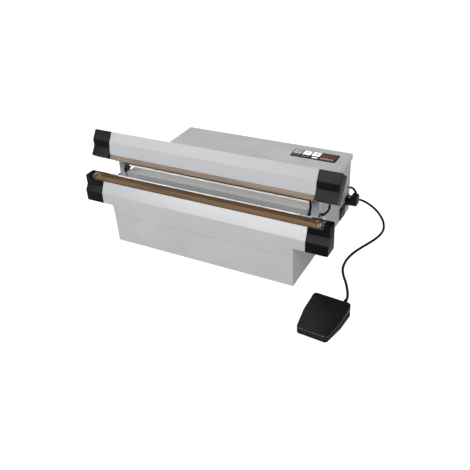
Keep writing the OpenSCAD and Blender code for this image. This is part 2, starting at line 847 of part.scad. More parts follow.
trafo_at = [-40, 90, 0];
module transformer_core() {
    color([0.35, 0.35, 0.37]) translate([trafo_at[0], trafo_at[1], base_top]) {
        difference() {
            translate([-42, -28, 0]) cube([84, 56, 72]);
            for (side = [-1, 1]) translate([side * 21, 0, 36]) cube([16, 60, 44], center = true);
        }
        for (side = [-1, 1]) translate([side * 50 - 8.1, -28, 0]) cube([16.2, 56, 3]);
    }
}

module transformer_coil() {
    color([0.75, 0.6, 0.3]) translate([trafo_at[0], trafo_at[1], base_top + 36]) difference() {
        cube([57, 80, 43], center = true);
        cube([26 + 2 * fit, 56 + 2 * fit, 50], center = true);
    }
}

// the inlet's frame is stepped: a low part with rocker and fuse, a higher one with the socket
module inlet_outline(inset) {
    square_from([inlet_y0 + inset, inlet_z + inset],
                [inlet_y0 + switch_l - inset, inlet_z + inlet_h - inset]);
    square_from([socket_y - socket_frame / 2 + inset, socket_mid - socket_frame_h / 2 + inset],
                [socket_y + socket_frame / 2 - inset, socket_mid + socket_frame_h / 2 - inset]);
}

module inlet_pocket(depth, y, z, w, h) {
    block([side_x - depth, y - w / 2, z - h / 2], [inlet_face + 1, y + w / 2, z + h / 2]);
}

module mains_inlet() {
    color([0.08, 0.08, 0.08]) difference() {
        union() {
            span_x(side_x, inlet_face) inlet_outline(0);
            span_x(side_x - inlet_in, side_x) inlet_outline(inlet_rim + fit);
        }
        inlet_pocket(12, rocker_y, inlet_mid, rocker_w + 2 * clear, rocker_l + 2 * clear);
        inlet_pocket(18, fuse_y, inlet_mid, fuse_w, fuse_h);
        inlet_pocket(16, socket_y, socket_mid, socket_w, socket_h);
        rocker_trunnions(clear + fit, trunnion_r + touch);
    }
}

rocker_axis_x = side_x - 5;
module rocker_trunnions(more, r) {
    half = rocker_w / 2 + trunnion_l + more;
    translate([rocker_axis_x, rocker_y + half, inlet_mid]) rotate([90, 0, 0]) cylinder(h = 2 * half, r = r);
}

module power_rocker() {
    color([0.75, 0.08, 0.06]) {
        rocker_trunnions(0, trunnion_r);
        translate([rocker_axis_x, 0, inlet_mid]) rotate([0, rocker_tilt, 0])
            rotate([90, 0, 0]) translate([0, 0, -rocker_y])
                linear_extrude(rocker_w, center = true) polygon([
                    [-3, -3], [7.5, -rocker_l / 2 + 1.6], [8.5, -6], [8.1, 0], [8.5, 6],
                    [7.5, rocker_l / 2 - 1.6], [-3, 3]
                ]);
    }
}

module fuse_drawer() {
    color([0.1, 0.1, 0.1])
        block([side_x - 17, fuse_y - fuse_w / 2 + fit, inlet_mid - fuse_h / 2 + fit],
              [inlet_face + 0.8, fuse_y + fuse_w / 2 - fit, inlet_mid + fuse_h / 2 - fit]);
}

// the appliance connector turns its cord upwards; its side is drawn from the socket's middle
connector_w = 24;
boot_from = [299, 186, 63];
module mains_connector() {
    color([0.06, 0.06, 0.06]) {
        block([side_x - 14, socket_y - socket_w / 2 + fit, socket_mid - socket_h / 2 + fit],
              [inlet_face + 0.5, socket_y + socket_w / 2 - fit, socket_mid + socket_h / 2 - fit]);
        translate([inlet_face, socket_y, socket_mid]) rotate([90, 0, 0])
            linear_extrude(connector_w, center = true) polygon([
                [0.4, -9], [31, -7.5], [32, 15], [29, 21], [22, 23], [14, 23], [3.5, 2], [0.4, 9]
            ]);
        tube([boot_from, mains_route[0]], mains_dia / 2 + 1.2, 16);
    }
}

module mains_cord() {
    color([0.05, 0.05, 0.05]) {
        tube(mains_route, mains_dia / 2, 10);
        tube(tail_route, mains_dia / 2, 10);
    }
}

module mains_coil() {
    color([0.05, 0.05, 0.05]) translate(coil_at) rotate_extrude()
        translate([coil_r - 1.5 * mains_dia, 0]) square([3 * mains_dia, 2 * mains_dia]);
}

module mains_plug() {
    color([0.06, 0.06, 0.06]) translate(plug_at) rotate([0, -90, 0]) {
        cylinder(h = 34, r = 18.5);
        translate([0, 0, -16]) cylinder(h = 16, r1 = 7, r2 = 15);
        for (side = [-1, 1]) translate([side * 9.5, 0, 34]) cylinder(h = 19, r = 2.4, $fn = 24);
    }
}

module pedal_socket() {
    color([0.1, 0.1, 0.1]) translate([socket_x, back_y, socket_z]) rotate([-90, 0, 0]) {
        translate([0, 0, -sheet - 14]) cylinder(h = 14 + sheet, r = socket_r);
        cylinder(h = 3, r = socket_r + 3, $fn = 24);
        // the plug of the pedal cord, pushed home
        translate([0, 0, 3]) cylinder(h = 14, r = 7.5);
        translate([0, 0, 17]) cylinder(h = pedal_route[0][1] - back_y - 17, r1 = 5.5, r2 = 3.4);
    }
}

module pedal_cord() {
    color([0.05, 0.05, 0.05]) tube(pedal_route, pedal_dia / 2, 8);
}

// ---------- pedal ----------

module pedal_place() {
    translate(pedal_at) rotate(pedal_turn) children();
}

// plan of the pedal, drawn in by an inset: round corners and bulging sides
module pedal_plan(inset) {
    c = max(pedal_corner - inset, 1);
    f = pedal_front / 2 - inset - c;
    b = pedal_rear / 2 - inset - c;
    l = pedal_l / 2 - inset - c;
    m = (f + b) / 2 + pedal_bulge;
    hull() for (side = [-1, 1]) {
        translate([side * f, -l]) circle(r = c, $fn = 32);
        translate([side * m, 0]) circle(r = c, $fn = 32);
        translate([side * b, l]) circle(r = c, $fn = 32);
    }
}

// everything below a plane that rises from the pedal's front to its back
module below_slope(front_h, back_h) {
    rise = (back_h - front_h) / 2;
    along_x(2 * pedal_rear) polygon([
        [-pedal_l, -20], [-pedal_l, front_h - rise], [pedal_l, back_h + rise], [pedal_l, -20]
    ]);
}

// height of the treadle's ceiling at a distance behind the pedal's middle
function ceiling(y) = pedal_low - pedal_wall
    + (pedal_high - pedal_low) * (y / pedal_l + 0.5);

hinge_y = -pedal_l / 2 + hinge_in;
function fall(y) = (y - hinge_y) * tan(pedal_swing);
back_fall = fall(pedal_l / 2);
skirt_z = rim_h + clear;
liner_in = pedal_wall + 0.8;
floor_z = pedal_foot + pedal_wall;
ear_x = 22;
ear_w = 6;
pin_half = ear_x + 4 / 3 * ear_w;
micro_y = 22;
micro_l = 28;
plunger_y = micro_y + 6;
plunger_z = floor_z + 12;
spring_y = 2;
coil_r_in = 5;
coil_r_out = 7;

module pedal_base() {
    color([0.09, 0.09, 0.09]) pedal_place() {
        difference() {
            union() {
                translate([0, 0, pedal_foot]) linear_extrude(rim_h - pedal_foot) pedal_plan(0);
                intersection() {
                    translate([0, 0, pedal_foot]) linear_extrude(pedal_high) pedal_plan(liner_in);
                    below_slope(rim_h + 1, rim_h + 1 + back_fall);
                }
            }
            translate([0, 0, floor_z]) linear_extrude(pedal_high) pedal_plan(liner_in + pedal_wall);
            // room for the treadle's front
            block([-pedal_rear, -pedal_l, rim_h], [pedal_rear, hinge_y + 8, pedal_high]);
        }
        // bosses for the hinge pin
        for (side = [-1, 1]) difference() {
            block([side * (ear_x + ear_w) - ear_w / 2 + clear, hinge_y - 4, floor_z],
                  [side * (ear_x + ear_w) + ear_w / 2, hinge_y + 4, hinge_z + 4]);
            translate([0, hinge_y, hinge_z]) rod_x(-pedal_rear, pedal_rear, pin_r + touch);
        }
        // post inside the spring
        translate([0, spring_y, floor_z]) cylinder(h = 6, r = coil_r_in - clear);
        // soles
        for (x = [-1, 1]) for (y = [-1, 1])
            translate([x * (pedal_front / 2 - 12), y * (pedal_l / 2 - 14), 0])
                cylinder(h = pedal_foot, r = 6);
        // strain relief of the cord
        translate([relief_x, pedal_l / 2 - liner_in, relief_z]) rotate([-90, 0, 0]) {
            cylinder(h = relief_in, r = relief_r);
            translate([0, 0, relief_in]) cylinder(h = relief_l, r1 = relief_r - 0.5, r2 = pedal_dia / 2 + 1);
        }
    }
}

module pedal_treadle() {
    color([0.11, 0.11, 0.11]) pedal_place() {
        difference() {
            intersection() {
                translate([0, 0, skirt_z]) linear_extrude(pedal_high) pedal_plan(0);
                below_slope(pedal_low, pedal_high);
            }
            intersection() {
                linear_extrude(pedal_high) pedal_plan(pedal_wall);
                below_slope(pedal_low - pedal_wall, pedal_high - pedal_wall);
            }
            // the skirt rises towards the back, to clear the base when the pedal is down
            below_slope(skirt_z, skirt_z + back_fall);
            // notch over the cord's strain relief
            block([relief_x - relief_r - clear, pedal_l / 2 - 2 * liner_in, 0],
                  [relief_x + relief_r + clear, pedal_l, relief_z + relief_r + back_fall + 2 * clear]);
        }
        // ears on the hinge pin
        for (side = [-1, 1]) difference() {
            block([side * ear_x - ear_w / 2, hinge_y - 3.5, hinge_z - 3.5],
                  [side * ear_x + ear_w / 2, hinge_y + 3.5, ceiling(hinge_y) + 0.5]);
            translate([0, hinge_y, hinge_z]) rod_x(-pedal_rear, pedal_rear, pin_r + touch);
        }
        // boss that presses the switch
        translate([0, plunger_y, plunger_z + fall(plunger_y) + clear])
            cylinder(h = ceiling(plunger_y) + 0.5 - plunger_z - fall(plunger_y) - clear, r = 3);
    }
}

module pedal_pin() {
    color([0.7, 0.7, 0.72]) pedal_place() translate([0, hinge_y, hinge_z])
        rod_x(-pin_half, pin_half, pin_r);
}

module pedal_spring() {
    color([0.7, 0.7, 0.72]) pedal_place() translate([0, spring_y, floor_z]) difference() {
        cylinder(h = ceiling(spring_y - coil_r_out) - floor_z - fit, r = coil_r_out);
        translate([0, 0, -1]) cylinder(h = pedal_high, r = coil_r_in);
    }
}

module pedal_switch() {
    color([0.15, 0.15, 0.16]) pedal_place() {
        block([-10, micro_y - 8, floor_z], [10, micro_y - 8 + micro_l, plunger_z - 2]);
        translate([0, plunger_y, plunger_z - 2]) cylinder(h = 2, r = 2);
    }
}

front_panel();
side_panel_left();
side_panel_right();
back_panel();
base_plate();
bench_tray();
top_cover();
rubber_feet();
foot_screws();
cover_screws();
lower_jaw_channel();
lower_jaw_cap_left();
lower_jaw_cap_right();
lower_seal_bar();
lower_backing();
lower_heating_band();
lower_release_strip();
lower_jaw_screws();
upper_jaw_channel();
upper_jaw_cap_left();
upper_jaw_cap_right();
upper_seal_bar();
upper_backing();
upper_heating_band();
upper_release_strip();
jaw_arm_left();
jaw_arm_right();
arm_screws();
pivot_shaft();
shaft_nuts();
pivot_bushes();
armature_levers();
armature_plates();
magnet_cups();
magnet_coils();
magnet_brackets();
jaw_leads();
return_springs();
control_fascia();
display_window();
key_left();
key_middle();
key_right();
control_board();
transformer_core();
transformer_coil();
mains_inlet();
power_rocker();
fuse_drawer();
mains_connector();
mains_cord();
mains_coil();
mains_plug();
pedal_socket();
pedal_cord();
pedal_base();
pedal_treadle();
pedal_pin();
pedal_spring();
pedal_switch();
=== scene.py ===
# Looks of the impulse heat sealer: camera, cords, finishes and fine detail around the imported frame.
import json
import math

import bmesh
import bpy
from mathutils import Matrix, Vector


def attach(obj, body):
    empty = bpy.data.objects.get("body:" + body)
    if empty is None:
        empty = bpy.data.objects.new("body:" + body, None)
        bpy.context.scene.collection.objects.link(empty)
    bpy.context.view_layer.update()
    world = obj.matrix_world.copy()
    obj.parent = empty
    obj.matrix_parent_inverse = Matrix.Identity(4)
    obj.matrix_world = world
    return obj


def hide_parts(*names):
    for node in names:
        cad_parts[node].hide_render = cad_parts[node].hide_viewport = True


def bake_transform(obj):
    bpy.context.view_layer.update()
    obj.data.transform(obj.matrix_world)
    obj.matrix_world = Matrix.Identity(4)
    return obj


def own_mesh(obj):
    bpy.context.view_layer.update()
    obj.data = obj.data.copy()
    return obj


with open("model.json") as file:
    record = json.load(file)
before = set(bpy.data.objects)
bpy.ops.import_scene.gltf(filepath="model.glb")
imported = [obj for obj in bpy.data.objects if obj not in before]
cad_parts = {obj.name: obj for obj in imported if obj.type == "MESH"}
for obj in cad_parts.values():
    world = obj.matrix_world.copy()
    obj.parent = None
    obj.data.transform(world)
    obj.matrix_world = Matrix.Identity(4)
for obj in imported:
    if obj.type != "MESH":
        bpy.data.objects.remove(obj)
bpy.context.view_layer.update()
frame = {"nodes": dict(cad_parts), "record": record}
nodes = frame["nodes"]
scene = bpy.context.scene

MM = 0.001


def mm(*values):
    return Vector(values) * MM


def add_object(name, data):
    piece = bpy.data.objects.new(name, data)
    scene.collection.objects.link(piece)
    return piece


def add_mesh(name, work):
    """Turns a finished bmesh into a mesh object."""
    data = bpy.data.meshes.new(name)
    work.to_mesh(data)
    work.free()
    return add_object(name, data)


# ---------- camera ----------

CAMERA_AZIMUTH = 30.0
CAMERA_ELEVATION = 32.67
CAMERA_ROLL = -3.65
CAMERA_AT = mm(752.7, -1313.4, 937.7)
CLIP_END = 20
LENS = 46.77
SENSOR = 36.0


def make_camera():
    a = math.radians(CAMERA_AZIMUTH)
    e = math.radians(CAMERA_ELEVATION)
    r = math.radians(CAMERA_ROLL)
    right = Vector((math.cos(a), math.sin(a), 0))
    back = Vector((math.sin(a) * math.cos(e), -math.cos(a) * math.cos(e), math.sin(e)))
    up = back.cross(right)
    turned_right = math.cos(r) * right + math.sin(r) * up
    turned_up = math.cos(r) * up - math.sin(r) * right
    data = bpy.data.cameras.new("camera")
    data.sensor_width = SENSOR
    data.lens = LENS
    data.clip_end = CLIP_END
    camera = add_object("camera", data)
    turn = Matrix((turned_right, turned_up, back)).transposed().to_4x4()
    camera.matrix_world = Matrix.Translation(CAMERA_AT) @ turn
    scene.camera = camera


make_camera()
scene.view_settings.view_transform = "Standard"

# ---------- lines and outlines ----------

RING_POINTS = 24
OVAL_POINTS = 32


def smooth_path(points, steps):
    """A Catmull-Rom line through the points, with the given number of steps between two of them."""
    first = points[0] * 2 - points[1]
    last = points[-1] * 2 - points[-2]
    p = [first, *points, last]
    line = []
    for i in range(1, len(p) - 2):
        for s in range(steps):
            t = s / steps
            line.append(0.5 * (
                2 * p[i] + (p[i + 1] - p[i - 1]) * t
                + (2 * p[i - 1] - 5 * p[i] + 4 * p[i + 1] - p[i + 2]) * t ** 2
                + (3 * p[i] - p[i - 1] - 3 * p[i + 1] + p[i + 2]) * t ** 3
            ))
    return [*line, points[-1]]


def ring(centre, radius):
    """A circle of points across X. The centre is in metres and the radius in millimetres."""
    return [centre + radius * MM * Vector((0, math.cos(a), math.sin(a)))
            for a in (2 * math.pi * k / RING_POINTS for k in range(RING_POINTS))]


def helix(start, end, radius, turns, steps):
    """A line that winds round the axis from start to end, with the given steps to a turn. The
    radius is in millimetres."""
    axis = (end - start).normalized()
    side = axis.orthogonal().normalized()
    other = axis.cross(side)
    count = turns * steps
    line = []
    for k in range(count + 1):
        a = 2 * math.pi * k / steps
        out = math.cos(a) * side + math.sin(a) * other
        line.append(start.lerp(end, k / count) + radius * MM * out)
    return line


def oval(x, y, rx, ry, power):
    """A loop round (x, y): an ellipse where power is 1, and closer to a rectangle below that."""
    loop = []
    for k in range(OVAL_POINTS):
        a = 2 * math.pi * k / OVAL_POINTS
        c, d = math.cos(a), math.sin(a)
        loop.append((x + rx * math.copysign(abs(c) ** power, c),
                     y + ry * math.copysign(abs(d) ** power, d)))
    return loop


def tube(name, lines, radius, sides=4, closed=False):
    """Round tubes along one or more lines, as one mesh. The radius is in metres."""
    data = bpy.data.curves.new(name + "_path", "CURVE")
    data.dimensions = "3D"
    data.bevel_depth = radius
    data.bevel_resolution = sides
    data.use_fill_caps = True
    for line in lines:
        spline = data.splines.new("POLY")
        spline.points.add(len(line) - 1)
        for point, place in zip(spline.points, line):
            point.co = (*place, 1)
        spline.use_smooth = True
        spline.use_cyclic_u = closed
    path = add_object(name + "_path", data)
    seen = path.evaluated_get(bpy.context.evaluated_depsgraph_get())
    mesh = bpy.data.meshes.new_from_object(seen)
    mesh.name = name
    bpy.data.objects.remove(path)
    bpy.data.curves.remove(data)
    return add_object(name, mesh)


# ---------- cords ----------

MAINS_DIA = 6.5
PEDAL_DIA = 6.6
CORD_STEPS = 4
# from the connector on the right side, round the rear corner and down to the coil
MAINS_ROUTE = [
    (296, 189, 69.5), (292.5, 192, 74.5), (287.5, 196.5, 77.6), (281.5, 202.5, 78.3),
    (276, 208.5, 76.5), (270, 215, 73), (263, 221, 68), (254, 227, 61), (244, 233, 52.5),
    (233, 239, 43.5), (222, 245, 34), (211, 250.5, 24.5), (200, 255.5, 16), (189, 259, 9.4),
    (178, 261, 5.4), (167, 261.5, 3.8), (156, 261.3, 3.4), (146, 261, 3.4), (136, 261, 3.4),
]
# from the coil's top layer to the plug
TAIL_ROUTE = [(108, 261, 9.8), (100, 261, 11), (92, 262, 14), (86, 262, 17), (80, 262, 19)]
# from the socket in the back panel, round the right side to the pedal
PEDAL_ROUTE = [
    (236, 237, 30), (236, 246, 29.5), (238, 255, 26.5), (243, 264, 19.5), (252, 271, 11.5),
    (264, 275, 6), (278, 275.5, 3.6), (294, 272, 3.3), (312, 262, 3.3), (328, 250, 3.3),
    (343, 236, 3.3), (357, 220, 3.3), (369, 203, 3.3), (380, 185, 3.3), (388, 166, 3.3),
    (394, 146, 3.3), (396, 125, 3.3), (394, 104, 3.3), (389, 84, 3.3), (382, 64, 3.3),
    (374, 44, 3.3), (366, 24, 3.3), (359, 4, 3.3), (354, -16, 3.3), (351, -37, 3.3),
    (351, -58, 3.3), (354, -79, 3.3), (361, -99, 3.3), (371, -118, 3.3), (382, -136, 3.3),
    (391, -154, 3.4), (398, -170, 4), (403, -184, 5.8), (406.2, -194, 8.8), (408.1, -203, 11.4),
    (409.1, -212.3, 13),
]
COIL_AT = (118, 303)
COIL_RADII = [42.5, 36, 29.5]
COIL_STEPS = 48
COIL_START_DEG = -90
# the last degrees of a turn lead over to the next one
COIL_SHIFT_DEG = 60
TIE_X = COIL_AT[0] + COIL_RADII[1]
TIE_Z = 6.6
TIE_REACH = 11.61
TIE_HALF_HEIGHT = 7.5
TIE_HALF_WIDTH = 6
TIE_LOWEST = 0.5
TIE_THICK = 0.8


def coil_turns():
    """The wound length: inwards on the floor, then outwards on top of that layer."""
    lower = MAINS_DIA / 2
    upper = MAINS_DIA * 1.5
    turns = [(r, lower) for r in COIL_RADII] + [(r, upper) for r in reversed(COIL_RADII)]
    line = []
    for i, (radius, height) in enumerate(turns):
        next_radius, next_height = turns[min(i + 1, len(turns) - 1)]
        for k in range(COIL_STEPS):
            done = 360 * k / COIL_STEPS
            shift = max(0, (done - 360 + COIL_SHIFT_DEG) / COIL_SHIFT_DEG)
            shift = shift * shift * (3 - 2 * shift)
            a = math.radians(COIL_START_DEG - done)
            r = radius + (next_radius - radius) * shift
            z = height + (next_height - height) * shift
            line.append(mm(COIL_AT[0] + r * math.cos(a), COIL_AT[1] + r * math.sin(a), z))
    return line


def make_cords():
    arrive = smooth_path([mm(*p) for p in MAINS_ROUTE], CORD_STEPS)
    leave = smooth_path([mm(*p) for p in TAIL_ROUTE], CORD_STEPS)
    mains_line = arrive + coil_turns() + leave
    mains = tube("mains_lead", [mains_line], MAINS_DIA / 2 * MM)
    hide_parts("mains_cord", "mains_coil")
    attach(mains, "housing")

    pedal_line = smooth_path([mm(*p) for p in PEDAL_ROUTE], CORD_STEPS)
    pedal = tube("pedal_lead", [pedal_line], PEDAL_DIA / 2 * MM)
    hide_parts("pedal_cord")
    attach(pedal, "housing")
    return mains, mains_line, pedal, pedal_line


def coil_tie():
    """A strap round the coil's section, on the coil's right."""
    outline = oval(TIE_X, TIE_Z, TIE_REACH, TIE_HALF_HEIGHT, power=0.4)
    work = bmesh.new()
    front, rear = (
        [work.verts.new(mm(x, y, max(z, TIE_LOWEST))) for x, z in outline]
        for y in (COIL_AT[1] - TIE_HALF_WIDTH, COIL_AT[1] + TIE_HALF_WIDTH)
    )
    for i in range(OVAL_POINTS):
        j = (i + 1) % OVAL_POINTS
        work.faces.new((front[i], front[j], rear[j], rear[i]))
    work.normal_update()
    piece = add_mesh("coil_tie", work)
    thick = piece.modifiers.new("thick", "SOLIDIFY")
    thick.thickness = TIE_THICK * MM
    thick.offset = 0
    return piece


mains_lead, mains_line, pedal_lead, pedal_line = make_cords()
tie = coil_tie()
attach(tie, "housing")

# ---------- shader building blocks ----------

# a noise's values mostly lie between these two, and its middle shade is at a half
NOISE_LOW = 0.3
NOISE_HIGH = 0.7


def new_material(name):
    material = bpy.data.materials.new(name)
    material.use_nodes = True
    tree = material.node_tree
    return material, tree, tree.nodes["Principled BSDF"]


def grey(value):
    return (value, value, value)


def colour(value):
    return (*value, 1)


def texture_place(tree, scale=(1, 1, 1)):
    place = tree.nodes.new("ShaderNodeTexCoord")
    turn = tree.nodes.new("ShaderNodeMapping")
    turn.inputs["Scale"].default_value = scale
    tree.links.new(place.outputs["Object"], turn.inputs["Vector"])
    return turn.outputs["Vector"]


def noise(tree, where, scale, detail, rough=0.55):
    node = tree.nodes.new("ShaderNodeTexNoise")
    node.inputs["Scale"].default_value = scale
    node.inputs["Detail"].default_value = detail
    node.inputs["Roughness"].default_value = rough
    tree.links.new(where, node.inputs["Vector"])
    return node.outputs["Fac"]


def waves(tree, where, scale, direction):
    node = tree.nodes.new("ShaderNodeTexWave")
    node.wave_type = "BANDS"
    node.bands_direction = direction
    node.inputs["Scale"].default_value = scale
    node.inputs["Distortion"].default_value = 0.4
    node.inputs["Detail"].default_value = 1
    tree.links.new(where, node.inputs["Vector"])
    return node.outputs["Fac"]


def ramp(tree, value, stops):
    node = tree.nodes.new("ShaderNodeValToRGB")
    node.color_ramp.elements[0].position = stops[0][0]
    node.color_ramp.elements[0].color = colour(stops[0][1])
    node.color_ramp.elements[1].position = stops[-1][0]
    node.color_ramp.elements[1].color = colour(stops[-1][1])
    for place, shade in stops[1:-1]:
        node.color_ramp.elements.new(place).color = colour(shade)
    tree.links.new(value, node.inputs["Fac"])
    return node.outputs["Color"]


def mottled(tree, value, base, share, low=NOISE_LOW, high=NOISE_HIGH):
    """The base colour, darker by a share where a noise is low and paler by it where it is high."""
    darker, paler = (tuple(c * (1 + k) for c in base) for k in (-share, share))
    return ramp(tree, value, [(low, darker), (0.5, base), (high, paler)])


def maths(tree, operation, *values):
    node = tree.nodes.new("ShaderNodeMath")
    node.operation = operation
    for socket, value in zip(node.inputs, values):
        if isinstance(value, (int, float)):
            socket.default_value = value
        else:
            tree.links.new(value, socket)
    return node.outputs[0]


def mixed(tree, blend, factor, first, second):
    node = tree.nodes.new("ShaderNodeMix")
    node.data_type = "RGBA"
    node.blend_type = blend
    for socket, value in (("Factor", factor), ("A", first), ("B", second)):
        if isinstance(value, (int, float, tuple)):
            node.inputs[socket].default_value = value
        else:
            tree.links.new(value, node.inputs[socket])
    return node.outputs["Result"]


def parts(tree, vector):
    node = tree.nodes.new("ShaderNodeSeparateXYZ")
    tree.links.new(vector, node.inputs[0])
    return node.outputs


def limits(tree, value, low, high):
    """0 at low, 1 at high, and smooth between them. Low may be the larger of the two."""
    node = tree.nodes.new("ShaderNodeMapRange")
    node.interpolation_type = "SMOOTHSTEP"
    node.inputs["From Min"].default_value = low
    node.inputs["From Max"].default_value = high
    tree.links.new(value, node.inputs["Value"])
    return node.outputs["Result"]


def roughen(tree, shader, value, low, high):
    """Spreads the roughness over the given range by a noise."""
    node = tree.nodes.new("ShaderNodeMapRange")
    node.inputs["From Min"].default_value = NOISE_LOW
    node.inputs["From Max"].default_value = NOISE_HIGH
    node.inputs["To Min"].default_value = low
    node.inputs["To Max"].default_value = high
    tree.links.new(value, node.inputs["Value"])
    tree.links.new(node.outputs["Result"], shader.inputs["Roughness"])


def bump(tree, shader, height, strength, distance):
    node = tree.nodes.new("ShaderNodeBump")
    node.inputs["Strength"].default_value = strength
    node.inputs["Distance"].default_value = distance
    tree.links.new(height, node.inputs["Height"])
    tree.links.new(node.outputs["Normal"], shader.inputs["Normal"])


def facing(material, low, high, axis="Z"):
    """A mask that grows as faces turn towards an axis of the part, from 0 at low to 1 at high."""
    tree = material.node_tree
    normal = tree.nodes["Texture Coordinate"].outputs["Normal"]
    return limits(tree, parts(tree, normal)[axis], low, high)


def along(material, axis, low, high):
    """A mask that grows along an axis of the part, from 0 at low to 1 at high."""
    tree = material.node_tree
    place = tree.nodes["Texture Coordinate"].outputs["Object"]
    return limits(tree, parts(tree, place)[axis], low, high)


def both(material, first, second):
    """A mask that is 1 where both masks are."""
    return maths(material.node_tree, "MULTIPLY", first, second)


def tint_where(material, mask, shade):
    """Blends a finish's colour into another shade where the mask is 1."""
    tree = material.node_tree
    socket = tree.nodes["Principled BSDF"].inputs["Base Color"]
    tree.links.new(mixed(tree, "MIX", mask, socket.links[0].from_socket, colour(shade)), socket)


# ---------- finishes ----------

GLASS_WEAVE = 380
# the strips are creased beyond this distance from the middle, in metres
CREASED_FROM = 0.327
CREASED_BLEND = 0.012
CREASE_TIP = (0.09, 0.064, 0.044)


def powder_coat(name, base, rough=0.45, speckle=0.06, pits=0.78, band=None, soft=0.0006, factor=1):
    """Textured powder coat: fine orange peel, slight mottling and a faint speckle. Within a band
    of heights with soft edges, in metres, the coat is darker by a factor: painted shade."""
    material, tree, shader = new_material(name)
    where = texture_place(tree)
    cloudy = noise(tree, where, scale=9, detail=6)
    grain = noise(tree, where, scale=900, detail=3, rough=0.7)
    coat = mixed(tree, "MULTIPLY", 0.5, mottled(tree, cloudy, base, share=speckle),
                 ramp(tree, grain, [(0.3, grey(pits)), (0.62, grey(1))]))
    if band:
        low, high = band
        inside = both(material, along(material, "Z", low - soft, low),
                      along(material, "Z", high + soft, high))
        coat = mixed(tree, "MULTIPLY", inside, coat, colour(grey(factor)))
    tree.links.new(coat, shader.inputs["Base Color"])
    roughen(tree, shader, cloudy, rough - 0.04, rough + 0.06)
    bump(tree, shader, grain, strength=0.25, distance=0.00018)
    shader.inputs["Coat Weight"].default_value = 0.08
    shader.inputs["Coat Roughness"].default_value = 0.35
    return material


def moulded(name, base, rough, grain_size=1400, sheen=0.3):
    """Injection-moulded plastic with a fine spark-eroded grain."""
    material, tree, shader = new_material(name)
    where = texture_place(tree)
    cloudy = noise(tree, where, scale=30, detail=5)
    grain = noise(tree, where, scale=grain_size, detail=2, rough=0.6)
    tree.links.new(mottled(tree, cloudy, base, share=0.22), shader.inputs["Base Color"])
    roughen(tree, shader, grain, rough - 0.07, rough + 0.07)
    shader.inputs["Specular IOR Level"].default_value = sheen
    bump(tree, shader, grain, strength=0.4, distance=0.00008)
    return material


def rubbery(name, base, rough=0.62):
    """Matt rubber with a little dust."""
    material, tree, shader = new_material(name)
    where = texture_place(tree)
    dust_and_painted_light = noise(tree, where, scale=60, detail=6)
    fine = noise(tree, where, scale=2500, detail=2)
    tree.links.new(mottled(tree, dust_and_painted_light, base, share=0.35, low=0.35, high=0.72),
                   shader.inputs["Base Color"])
    roughen(tree, shader, dust_and_painted_light, rough - 0.08, rough + 0.08)
    shader.inputs["Specular IOR Level"].default_value = 0.08
    bump(tree, shader, fine, strength=0.2, distance=0.00005)
    return material


def metal(name, base, rough, stretch=(1, 1, 1), grain_size=400):
    """Machined or plated metal with a directional grain."""
    material, tree, shader = new_material(name)
    where = texture_place(tree, stretch)
    grain = noise(tree, where, scale=grain_size, detail=5, rough=0.65)
    stain = noise(tree, texture_place(tree), scale=45, detail=5)
    tree.links.new(mottled(tree, stain, base, share=0.1), shader.inputs["Base Color"])
    shader.inputs["Metallic"].default_value = 1
    roughen(tree, shader, grain, rough - 0.08, rough + 0.1)
    bump(tree, shader, grain, strength=0.15, distance=0.00006)
    return material


def glossy(name, base, rough, coat):
    """Smooth film or window with a clear coat and faint smears."""
    material, tree, shader = new_material(name)
    where = texture_place(tree)
    smear = noise(tree, where, scale=70, detail=6)
    tree.links.new(mottled(tree, smear, base, share=0.12), shader.inputs["Base Color"])
    roughen(tree, shader, smear, rough, rough + 0.1)
    shader.inputs["Coat Weight"].default_value = coat
    shader.inputs["Coat Roughness"].default_value = 0.06
    return material


def coated_cloth(name, base, flat=1.0):
    """Glass cloth with a brown non-stick coating: a fine weave and used patches. Faces that look up
    are darker by flat, painted shade, and the creased ends beyond the jaw pass into folds of another
    colour, with painted shade and painted highlights in the folds."""
    material, tree, shader = new_material(name)
    where = texture_place(tree)
    weave = maths(tree, "MAXIMUM", waves(tree, where, GLASS_WEAVE, "X"),
                  waves(tree, where, GLASS_WEAVE, "DIAGONAL"))
    patches = noise(tree, texture_place(tree, (0.35, 1.5, 1.5)), scale=26, detail=6, rough=0.6)
    worn = mottled(tree, patches, base, share=0.16, low=0.28, high=0.72)
    worn = mixed(tree, "MULTIPLY", 0.35, worn,
                 ramp(tree, weave, [(0.2, (0.72, 0.7, 0.68)), (0.9, grey(1))]))

    streaks = noise(tree, texture_place(tree, (0.03, 1, 1)), scale=330, detail=2, rough=0.6)
    worn = mixed(tree, "MULTIPLY", 0.6, worn,
                 ramp(tree, streaks, [(0.35, (0.74, 0.7, 0.66)), (0.6, grey(1.08))]))
    # painted shade on the faces that look up, by flat
    up = facing(material, 0.6, 0.95)
    worn = mixed(tree, "MULTIPLY", up, worn, colour((flat, flat * 0.99, flat * 0.96)))

    creases = noise(tree, texture_place(tree, (2.2, 0.7, 0.7)), scale=110, detail=3, rough=0.6)
    place = tree.nodes["Texture Coordinate"].outputs["Object"]
    outwards = maths(tree, "ABSOLUTE", parts(tree, place)["X"])
    ragged = maths(tree, "MULTIPLY_ADD", creases, 0.03, outwards)
    ends = limits(tree, ragged, CREASED_FROM, CREASED_FROM + CREASED_BLEND)
    # the folds get painted shade and painted highlights
    dark = tuple(0.15 * c for c in CREASE_TIP)
    pale = tuple(4 * c for c in CREASE_TIP)
    folds = ramp(tree, creases, [(0.42, dark), (0.52, CREASE_TIP), (0.66, pale)])
    tree.links.new(mixed(tree, "MIX", ends, worn, folds), shader.inputs["Base Color"])
    roughen(tree, shader, patches, 0.42, 0.56)
    shader.inputs["Specular IOR Level"].default_value = 0.2
    folded = maths(tree, "MULTIPLY_ADD", maths(tree, "MULTIPLY", ends, creases), 6, weave)
    bump(tree, shader, folded, strength=0.3, distance=0.0001)
    return material


COVER_GREY = (0.34, 0.342, 0.335)
BLACK = grey(0.006)
CAP_BLACK = grey(0.0036)
